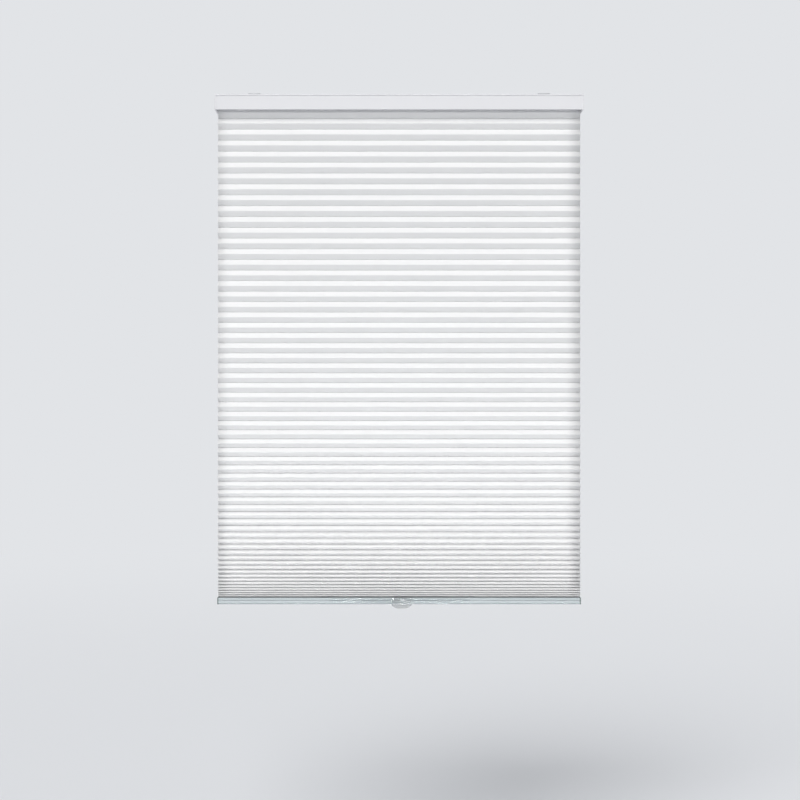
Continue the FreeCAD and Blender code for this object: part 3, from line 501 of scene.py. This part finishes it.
# ------------------------------------------------------------------------------------------
# Spring motor: a moulded tray and cover held by six small screws, with four geared drums on
# posts. The outer two wind the lift cords, the inner two carry the flat power spring.
motor_plastic, _ = grained_material(
    "motor_moulding", (0.62, 0.63, 0.64), (0.56, 0.57, 0.58), (0.45, 0.62), (0.35, 0.06 * MM),
    drift_scale=30.0, grain_scale=2400.0, line_scale=500.0, line_share=0.0,
)
drum_acetal, drum_shader = grained_material(
    "drum_acetal", (0.80, 0.79, 0.74), (0.74, 0.73, 0.68), (0.28, 0.40), (0.15, 0.04 * MM),
    drift_scale=60.0, grain_scale=3000.0, line_scale=700.0, line_share=0.0,
)
drum_shader.inputs["Subsurface Weight"].default_value = 0.15
drum_shader.inputs["Subsurface Radius"].default_value = (0.002, 0.002, 0.0015)
screw_zinc, screw_shader = grained_material(
    "screw_zinc", (0.62, 0.62, 0.60), (0.48, 0.48, 0.47), (0.24, 0.40), (0.2, 0.03 * MM),
    along="Z", drift_scale=300.0, grain_scale=4200.0, line_scale=3000.0, line_share=0.3,
)
screw_shader.inputs["Metallic"].default_value = 1.0
spring_steel, spring_shader = grained_material(
    "blued_spring_steel", (0.42, 0.45, 0.50), (0.30, 0.32, 0.36), (0.18, 0.32), (0.25, 0.03 * MM),
    drift_scale=80.0, grain_scale=2600.0, line_scale=3600.0, line_share=0.85,
)
spring_shader.inputs["Metallic"].default_value = 1.0
for name in ("motor_housing", "motor_cover"):
    finish_node(name, motor_plastic)
for name in ("cord_spool_left", "drive_drum", "storage_drum", "cord_spool_right"):
    finish_node(name, drum_acetal)
finish_node("cover_screws", screw_zinc)
finish_node("power_spring", spring_steel)


# ------------------------------------------------------------------------------------------
# Cord guides and anchors: small white mouldings. Each guide stands on the headrail's floor
# with a polished steel pin that the cord bends over; the anchors sit below the bottom rail's web.
guide_plastic, _ = grained_material(
    "guide_moulding", (0.78, 0.78, 0.78), (0.72, 0.72, 0.72), (0.36, 0.52), (0.25, 0.05 * MM),
    drift_scale=70.0, grain_scale=2800.0, line_scale=600.0, line_share=0.0,
)
pin_polish, pin_shader = grained_material(
    "polished_pin", (0.70, 0.70, 0.72), (0.60, 0.60, 0.63), (0.08, 0.18), (0.1, 0.02 * MM),
    along="Y", drift_scale=200.0, grain_scale=4000.0, line_scale=5000.0, line_share=0.7,
)
pin_shader.inputs["Metallic"].default_value = 1.0
for end in ("left", "right"):
    finish_node("cord_guide_" + end, guide_plastic)
    finish_node("cord_anchor_" + end, guide_plastic)
    finish_node("guide_pin_" + end, pin_polish)


# ------------------------------------------------------------------------------------------
# Fabric strips: stiff extruded plastic battens. They lie in the slots of the two rails and hold
# the first and the last cell of the fabric there.
strip_plastic, _ = grained_material(
    "strip_extrusion", (0.80, 0.80, 0.80), (0.74, 0.74, 0.75), (0.34, 0.48), (0.2, 0.04 * MM),
    drift_scale=25.0, grain_scale=1500.0, line_scale=2200.0, line_share=0.8,
)
for name in ("top_fabric_strip", "bottom_fabric_strip"):
    finish_node(name, strip_plastic)


# ------------------------------------------------------------------------------------------
# Cellular fabric: sixty tubes of white nonwoven polyester, each creased front and back and
# glued flat to its neighbours. The cells hang more open towards the top, where more weight pulls.
fabric_width = 590.5 * MM
cell_count = 60
cell_leg = 12.0 * MM
glue_width = 5.0 * MM
cloth_thickness = 0.3 * MM
widest_pitch = 18.29 * MM
rail_weight_in_cells = 6.44
opening_cells = 32.64
opening_power = 1.25
leg_bow = 0.2 * MM
crease_wander = 0.5 * MM
top_gap = 0.2 * MM
cord_place_x = 185.0 * MM
cord_hole = 1.5 * MM
cloth_columns = 24
ring_rows = 24
crease_row = ring_rows // 4
cell_girth = 4 * cell_leg + 2 * glue_width
hole_reach = 0.6
fabric_low, fabric_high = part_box("cellular_fabric")


def make_honeycomb_tree():
    """Cells on a line, each a ring of cloth drawn along X; every ring is shaped by its own pitch."""
    tree, given, result = new_tree(
        "honeycomb",
        [
            ("Width", "NodeSocketFloat"),
            ("Cells", "NodeSocketInt"),
            ("Leg", "NodeSocketFloat"),
            ("Glue Width", "NodeSocketFloat"),
            ("Top", "NodeSocketFloat"),
            ("Widest Pitch", "NodeSocketFloat"),
            ("Rail Weight In Cells", "NodeSocketFloat"),
            ("Opening Cells", "NodeSocketFloat"),
            ("Opening Power", "NodeSocketFloat"),
            ("Leg Bow", "NodeSocketFloat"),
            ("Crease Wander", "NodeSocketFloat"),
            ("Cord Hole", "NodeSocketFloat"),
            ("Cord Place", "NodeSocketFloat"),
            ("Finish", "NodeSocketMaterial"),
        ],
    )
    link = tree.links.new

    def sum_of(a, b):
        return calculate(tree, "ADD", a, b)

    def minus(a, b):
        return calculate(tree, "SUBTRACT", a, b)

    def times(a, b):
        return calculate(tree, "MULTIPLY", a, b)

    def captured(geometry, value, domain="POINT", kind="FLOAT"):
        node = tree.nodes.new("GeometryNodeCaptureAttribute")
        node.domain = domain
        node.capture_items.new(kind, "kept")
        link(geometry, node.inputs["Geometry"])
        link(value, node.inputs["kept"])
        return node.outputs["Geometry"], node.outputs["kept"]

    # one point for each cell, with its own pitch and the height of its upper glue line
    cells = tree.nodes.new("GeometryNodeMeshLine")
    cells.inputs["Offset"].default_value = (0.0, 0.0, 0.0)
    link(given.outputs["Cells"], cells.inputs["Count"])
    number = tree.nodes.new("GeometryNodeInputIndex").outputs[0]
    below = sum_of(minus(given.outputs["Cells"], number), given.outputs["Rail Weight In Cells"])
    load = calculate(tree, "DIVIDE", below, given.outputs["Opening Cells"])
    load = calculate(tree, "POWER", load, given.outputs["Opening Power"])
    pitch = times(calculate(tree, "TANH", load), given.outputs["Widest Pitch"])
    heaped = tree.nodes.new("GeometryNodeAccumulateField")
    link(pitch, heaped.inputs["Value"])
    points, half_pitch = captured(cells.outputs["Mesh"], times(pitch, 0.5))
    points, hung = captured(points, minus(given.outputs["Top"], heaped.outputs["Trailing"]))
    points, cell = captured(points, number)

    # one cell as a plain tube along X: columns across the width, rows around the ring
    columns = tree.nodes.new("GeometryNodeMeshLine")
    columns.mode = "END_POINTS"
    columns.inputs["Count"].default_value = cloth_columns + 1
    start = tree.nodes.new("ShaderNodeCombineXYZ")
    end = tree.nodes.new("ShaderNodeCombineXYZ")
    link(times(given.outputs["Width"], -0.5), start.inputs["X"])
    link(times(given.outputs["Width"], 0.5), end.inputs["X"])
    link(start.outputs[0], columns.inputs["Start Location"])
    link(end.outputs[0], columns.inputs["Offset"])
    run = tree.nodes.new("GeometryNodeMeshToCurve")
    link(columns.outputs["Mesh"], run.inputs["Mesh"])
    ring = tree.nodes.new("GeometryNodeCurvePrimitiveCircle")
    ring.inputs["Resolution"].default_value = ring_rows
    ring_number = tree.nodes.new("GeometryNodeInputIndex").outputs[0]
    ring_curve, row = captured(ring.outputs["Curve"], ring_number)
    tube = tree.nodes.new("GeometryNodeCurveToMesh")
    link(run.outputs["Curve"], tube.inputs["Curve"])
    link(ring_curve, tube.inputs["Profile Curve"])
    spread = tree.nodes.new("GeometryNodeInstanceOnPoints")
    link(points, spread.inputs["Points"])
    link(tube.outputs["Mesh"], spread.inputs["Instance"])
    realize = tree.nodes.new("GeometryNodeRealizeInstances")
    link(spread.outputs["Instances"], realize.inputs["Geometry"])

    # the rows go round from the middle of the top flat: a quarter of them to the front crease,
    # the next quarter on to the bottom flat, and so back up by the rear crease
    where = tree.nodes.new("GeometryNodeInputPosition")
    apart = tree.nodes.new("ShaderNodeSeparateXYZ")
    link(where.outputs[0], apart.inputs[0])
    just_past = sum_of(row, 0.001)
    quarter = calculate(tree, "PINGPONG", row, crease_row)
    to_front = calculate(tree, "SIGN", minus(ring_rows / 2, just_past))
    around = times(just_past, math.tau / ring_rows)
    is_upper = calculate(tree, "SIGN", calculate(tree, "COSINE", around))

    # how far round the cloth each row stands: close together at the glue's edge and the crease
    shares = tree.nodes.new("ShaderNodeFloatCurve")
    stretch = shares.mapping.curves[0]
    cloth_run = 0.5 * glue_width + cell_leg
    marks = [0.0, 0.42 * glue_width, 0.5 * glue_width + 0.6 * MM]
    marks += [0.5 * glue_width + cell_leg * part for part in (0.30, 0.65, 0.95, 1.0)]
    for index, mark in enumerate(marks):
        place = (index / crease_row, mark / cloth_run)
        if index in (0, crease_row):
            stretch.points[0 if index == 0 else -1].location = place
        else:
            stretch.points.new(*place)
    for point in stretch.points:
        point.handle_type = "VECTOR"
    shares.mapping.update()
    link(calculate(tree, "DIVIDE", quarter, crease_row), shares.inputs["Value"])
    half_flat = times(given.outputs["Glue Width"], 0.5)
    gone = times(shares.outputs[0], sum_of(half_flat, given.outputs["Leg"]))
    on_flat = calculate(tree, "MINIMUM", gone, half_flat)
    on_leg = calculate(tree, "MAXIMUM", minus(gone, half_flat), 0.0)
    leg_share = calculate(tree, "DIVIDE", on_leg, given.outputs["Leg"])

    # the leg's slope comes from the pitch; it bows a little, and its crease wanders a little
    sine = calculate(tree, "DIVIDE", half_pitch, given.outputs["Leg"])
    cosine = calculate(tree, "SQRT", minus(1.0, times(sine, sine)))
    bow = times(calculate(tree, "SINE", times(leg_share, math.pi)), given.outputs["Leg Bow"])
    waves_per_metre, cell_apart, side_apart = 9.0, 3.7, 5.0
    drift_place = tree.nodes.new("ShaderNodeCombineXYZ")
    link(times(apart.outputs["X"], waves_per_metre), drift_place.inputs["X"])
    link(times(cell, cell_apart), drift_place.inputs["Y"])
    link(times(to_front, side_apart), drift_place.inputs["Z"])
    drift = tree.nodes.new("ShaderNodeTexNoise")
    drift.inputs["Scale"].default_value = 1.0
    drift.inputs["Detail"].default_value = 1.0
    link(drift_place.outputs[0], drift.inputs["Vector"])
    off_line = times(minus(drift.outputs["Fac"], 0.5), given.outputs["Crease Wander"])
    wander = times(off_line, times(leg_share, sine))
    reach = sum_of(sum_of(on_flat, times(on_leg, cosine)), times(bow, sine))
    fallen = minus(times(on_leg, sine), times(bow, cosine))
    lift = sum_of(times(minus(half_pitch, fallen), is_upper), wander)
    middle = minus(hung, half_pitch)
    across = times(times(sum_of(reach, times(wander, 0.5)), to_front), -1.0)

    # a column stands at each side of a cord hole, so that the hole can be cut between them
    spacing = calculate(tree, "DIVIDE", given.outputs["Width"], cloth_columns)
    from_middle = calculate(tree, "ABSOLUTE", apart.outputs["X"])
    off_hole = minus(from_middle, given.outputs["Cord Place"])
    off_hole_by = calculate(tree, "ABSOLUTE", off_hole)
    beside = calculate(tree, "LESS_THAN", off_hole_by, times(spacing, hole_reach))
    past_hole = times(calculate(tree, "SIGN", off_hole), given.outputs["Cord Hole"])
    edge = sum_of(given.outputs["Cord Place"], past_hole)
    moved = times(edge, calculate(tree, "SIGN", apart.outputs["X"]))
    sideways = sum_of(apart.outputs["X"], times(minus(moved, apart.outputs["X"]), beside))

    home = tree.nodes.new("ShaderNodeCombineXYZ")
    link(sideways, home.inputs["X"])
    link(across, home.inputs["Y"])
    link(sum_of(middle, lift), home.inputs["Z"])
    shape = tree.nodes.new("GeometryNodeSetPosition")
    link(realize.outputs["Geometry"], shape.inputs["Geometry"])
    link(home.outputs[0], shape.inputs["Position"])

    # cut the cord holes out of the flats: each is the one face between those two columns
    cut = tree.nodes.new("GeometryNodeDeleteGeometry")
    cut.domain = "FACE"
    at_cord = calculate(tree, "COMPARE", from_middle, given.outputs["Cord Place"], 1.0 * MM)
    off_centre = calculate(tree, "ABSOLUTE", apart.outputs["Y"])
    on_glue = calculate(tree, "LESS_THAN", off_centre, times(half_flat, hole_reach))
    link(shape.outputs["Geometry"], cut.inputs["Geometry"])
    link(times(at_cord, on_glue), cut.inputs["Selection"])

    def stored(geometry, name, value, kind="FLOAT", domain="POINT"):
        node = tree.nodes.new("GeometryNodeStoreNamedAttribute")
        node.data_type, node.domain = kind, domain
        node.inputs["Name"].default_value = name
        link(geometry, node.inputs["Geometry"])
        link(value, node.inputs["Value"])
        return node.outputs["Geometry"]

    kept = stored(cut.outputs["Geometry"], "leg_share", leg_share)
    kept = stored(kept, "cell_number", cell)
    cloth_place = tree.nodes.new("ShaderNodeCombineXYZ")
    link(apart.outputs["X"], cloth_place.inputs["X"])
    gone_round = times(times(gone, is_upper), to_front)
    link(sum_of(times(cell, cell_girth), gone_round), cloth_place.inputs["Y"])
    kept = stored(kept, "UVMap", cloth_place.outputs[0], "FLOAT2", "CORNER")
    finish = tree.nodes.new("GeometryNodeSetMaterial")
    link(kept, finish.inputs["Geometry"])
    link(given.outputs["Finish"], finish.inputs["Material"])
    link(finish.outputs["Geometry"], result.inputs["Geometry"])
    return tree


def make_honeycomb():
    """Runs the tree, gives the cloth its thickness and returns the finished mesh."""
    def thicken(carrier):
        solid = carrier.modifiers.new("cloth", "SOLIDIFY")
        solid.thickness = cloth_thickness
        solid.offset = -1.0
        solid.use_even_offset = True
        solid.use_rim = True

    values = {
        "Width": fabric_width, "Cells": cell_count, "Leg": cell_leg, "Glue Width": glue_width,
        "Top": fabric_high.z - top_gap, "Widest Pitch": widest_pitch,
        "Rail Weight In Cells": rail_weight_in_cells, "Opening Cells": opening_cells,
        "Opening Power": opening_power, "Leg Bow": leg_bow, "Crease Wander": crease_wander,
        "Cord Hole": cord_hole, "Cord Place": cord_place_x, "Finish": cell_cloth,
    }
    seed = bpy.data.meshes.new("fabric_seed")
    return run_tree("honeycomb_fabric", seed, make_honeycomb_tree(), values, thicken)


cell_cloth, cloth_nodes, cloth_links, cloth_shader = plain_material(
    "nonwoven_cell_cloth", (0.93, 0.93, 0.93), 0.85
)
cloth_uv = cloth_nodes.new("ShaderNodeUVMap")
cloth_uv.uv_map = "UVMap"
cloth_fibre = cloth_nodes.new("ShaderNodeTexNoise")
cloth_fibre.inputs["Scale"].default_value = 900.0
cloth_fibre.inputs["Detail"].default_value = 4.0
cloth_fibre.inputs["Distortion"].default_value = 1.2
cloth_cloud = cloth_nodes.new("ShaderNodeTexNoise")
cloth_cloud.inputs["Scale"].default_value = 60.0
cloth_cloud.inputs["Detail"].default_value = 3.0
cloth_tone = cloth_nodes.new("ShaderNodeMixRGB")
cloth_tone.inputs["Color1"].default_value = (0.965, 0.965, 0.965, 1.0)
cloth_tone.inputs["Color2"].default_value = (0.99, 0.99, 0.99, 1.0)
cloth_bump = cloth_nodes.new("ShaderNodeBump")
cloth_bump.inputs["Strength"].default_value = 0.3
cloth_bump.inputs["Distance"].default_value = 0.08 * MM
cloth_glow = cloth_nodes.new("ShaderNodeBsdfTranslucent")
cloth_blend = cloth_nodes.new("ShaderNodeMixShader")
cloth_blend.inputs["Fac"].default_value = 0.22
cloth_output = cloth_nodes["Material Output"]
cloth_links.new(cloth_uv.outputs["UV"], cloth_fibre.inputs["Vector"])
cloth_links.new(cloth_uv.outputs["UV"], cloth_cloud.inputs["Vector"])
cloth_links.new(cloth_cloud.outputs["Fac"], cloth_tone.inputs["Fac"])
cloth_links.new(cloth_tone.outputs["Color"], cloth_shader.inputs["Base Color"])
cloth_links.new(cloth_tone.outputs["Color"], cloth_glow.inputs["Color"])
cloth_links.new(cloth_fibre.outputs["Fac"], cloth_bump.inputs["Height"])
cloth_links.new(cloth_bump.outputs["Normal"], cloth_shader.inputs["Normal"])
cloth_links.new(cloth_bump.outputs["Normal"], cloth_glow.inputs["Normal"])
cloth_links.new(cloth_shader.outputs[0], cloth_blend.inputs[1])
cloth_links.new(cloth_glow.outputs[0], cloth_blend.inputs[2])
cloth_links.new(cloth_blend.outputs[0], cloth_output.inputs["Surface"])

honeycomb = make_honeycomb()
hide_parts("cellular_fabric")
follow_rail(honeycomb)


# ------------------------------------------------------------------------------------------
# Bottom rail: a closed aluminium extrusion with a pale blue-grey coat, a steel ballast bar
# inside it, and dark moulded caps pressed into its ends.
rail_coat, _ = grained_material(
    "slate_powder_coat", (0.385, 0.43, 0.445), (0.36, 0.405, 0.42), (0.30, 0.42), (0.2, 0.05 * MM),
    drift_scale=6.0, grain_scale=1800.0, line_scale=1400.0, line_share=0.35,
)
rail_cap_plastic, _ = grained_material(
    "dark_cap_plastic", (0.16, 0.20, 0.195), (0.13, 0.165, 0.16), (0.40, 0.56), (0.30, 0.06 * MM),
    drift_scale=40.0, grain_scale=2600.0, line_scale=400.0, line_share=0.0,
)
bar_steel, bar_shader = grained_material(
    "mill_steel", (0.42, 0.42, 0.43), (0.30, 0.30, 0.31), (0.38, 0.56), (0.4, 0.05 * MM),
    drift_scale=40.0, grain_scale=1600.0, line_scale=1800.0, line_share=0.5,
)
bar_shader.inputs["Metallic"].default_value = 1.0
finish_node("bottom_rail", rail_coat)
finish_node("ballast_bar", bar_steel)
for end in ("left", "right"):
    finish_node("bottom_rail_end_cap_" + end, rail_cap_plastic)


# ------------------------------------------------------------------------------------------
# Lift handle: a clip of clear moulded plastic hooked over the rail's front lip, with a tapered
# tab below to pull by.
clear_plastic, clear_shader = grained_material(
    "clear_moulding", (0.97, 0.985, 0.99), (0.94, 0.965, 0.975), (0.04, 0.12), (0.08, 0.05 * MM),
    drift_scale=60.0, grain_scale=900.0, line_scale=400.0, line_share=0.0,
)
clear_shader.inputs["Transmission Weight"].default_value = 0.92
clear_shader.inputs["IOR"].default_value = 1.49

handle_low, handle_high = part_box("lift_handle")
rail_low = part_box("bottom_rail")[0]
handle_middle = (handle_low.x + handle_high.x) / 2
handle_half = (handle_high.x - handle_low.x) / 2

# the clip: a plate before the rail, a hook over its lip and a foot below it
plate_back = rail_low.y - 0.2 * MM
plate_thickness = 1.8 * MM
hook_depth = 4.0 * MM
hook_thickness = 0.7 * MM
hook_bevel = 0.2 * MM
foot_depth = 14.0 * MM
foot_thickness = 1.4 * MM
foot_bevel = 0.4 * MM
foot_top = rail_low.z - 0.1 * MM
foot_bottom = foot_top - foot_thickness

# the tab: thinner than the plate, leaning forward, narrowing to a flat tip
tab_thickness = plate_thickness - 0.3 * MM
tab_back = plate_back + 0.4 * MM
tab_sides = foot_bottom - 0.05 * MM
tab_taper = 1.35
tip_half = 7.0 * MM
lean_level = rail_low.z + 1.6 * MM
lean_curve = 1.5

# the front: a hollow for the thumb, a ledge across, and rounded sides and edges
hollow_depth = 1.25 * MM
hollow_width = 8.5 * MM
hollow_height = 2.6 * MM
hollow_level = handle_high.z - 1.8 * MM
ledge_depth = 1.3 * MM
ledge_height = 1.1 * MM
ledge_level = handle_high.z - 7.0 * MM
ledge_rise = 0.8 * MM
side_width = 1.0 * MM
side_depth = 0.7 * MM
side_turn = 0.96
top_round = 0.35 * MM
tip_round = 0.45 * MM
edge_width = 0.6 * MM


def hump(value, centre, width):
    """A smooth rise from 0 to 1 and back, centred on one place."""
    return math.exp(-(((value - centre) / width) ** 2))


def handle_end(x):
    """The level of the tab's lower edge: flat at the tip, rising to the foot at the sides."""
    past_tip = min(max((abs(x) - tip_half) / (handle_half - tip_half), 0.0), 1.0)
    return handle_low.z + (tab_sides - handle_low.z) * past_tip ** tab_taper


def handle_lean(z):
    """How far forward the tab stands at a level: none over the rail, most at its lower edge."""
    drop = min(max((lean_level - z) / (lean_level - handle_low.z), 0.0), 1.0)
    return (plate_back - plate_thickness - handle_low.y) * drop ** lean_curve


def handle_front(x, z):
    """The front surface: a thumb hollow below the hook, a ledge across, rounded sides."""
    hollow = hollow_depth * hump(x, 0.0, hollow_width) * hump(z, hollow_level, hollow_height)
    ledge_here = ledge_level + ledge_rise * (x / handle_half) ** 2
    ledge = ledge_depth * hump(z, ledge_here, ledge_height)
    corner = min(max((abs(x) - handle_half + side_width) / side_width, 0.0), 1.0)
    rounding = side_depth * (1.0 - math.sqrt(1.0 - side_turn * corner * corner))
    return plate_back - plate_thickness - handle_lean(z) + hollow - ledge + rounding


def handle_section(x):
    """One cut across the handle: down the front, round the tip, up the back, foot and hook."""
    end = handle_end(x)
    top = handle_high.z
    front_top, front_end, front_steps = top - top_round, end + tip_round, 44
    back_end, back_steps = end + 0.2 * MM, 8
    outline = []
    for step in range(front_steps + 1):
        z = front_top + (front_end - front_top) * step / front_steps
        outline.append((handle_front(x, z), z))
    tip = handle_front(x, end)
    outline.append((tip + edge_width * 5 / 12, end + edge_width / 10))
    outline.append((tip + edge_width, end))
    for step in range(back_steps + 1):
        z = back_end + (foot_bottom - back_end) * step / back_steps
        outline.append((min(handle_front(x, z) + tab_thickness, tab_back), z))
    foot_end = plate_back + foot_depth
    outline.append((foot_end - foot_bevel, foot_bottom))
    outline.append((foot_end, foot_bottom + foot_bevel))
    outline.append((foot_end, foot_top))
    outline.append((plate_back, foot_top))
    outline.append((plate_back, top - hook_thickness))
    outline.append((plate_back + hook_depth, top - hook_thickness))
    outline.append((plate_back + hook_depth, top - hook_bevel))
    outline.append((plate_back + hook_depth - hook_bevel, top))
    outline.append((handle_front(x, top) + top_round, top))
    return outline


def make_handle():
    """Lays the sections side by side across the handle, closer at its sides, and closes both ends."""
    columns = 48
    shares = [2 * step / columns - 1 for step in range(columns + 1)]
    places = [handle_half * math.sin(math.pi / 2 * share) for share in shares]
    sections = [handle_section(x) for x in places]
    around = len(sections[0])
    corners = [(handle_middle + x, y, z) for x, section in zip(places, sections) for y, z in section]
    faces = []
    for column in range(columns):
        for row in range(around):
            here, beside = column * around + row, column * around + (row + 1) % around
            faces.append((here, beside, beside + around, here + around))
    faces.append(tuple(range(around - 1, -1, -1)))
    faces.append(tuple(columns * around + row for row in range(around)))
    mesh = bpy.data.meshes.new("clear_lift_handle")
    mesh.from_pydata(corners, [], faces)
    mesh.materials.append(clear_plastic)
    mesh.shade_smooth()
    mesh.set_sharp_from_angle(angle=math.radians(35))
    return bpy.data.objects.new("clear_lift_handle", mesh)


def turn_faces_out(piece):
    """Makes every face of a closed piece point outwards."""
    shell = bmesh.new()
    shell.from_mesh(piece.data)
    bmesh.ops.recalc_face_normals(shell, faces=shell.faces)
    shell.to_mesh(piece.data)
    shell.free()


handle = make_handle()
scene.collection.objects.link(handle)
turn_faces_out(handle)
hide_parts("lift_handle")
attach(handle, "bottom_rail_assembly")
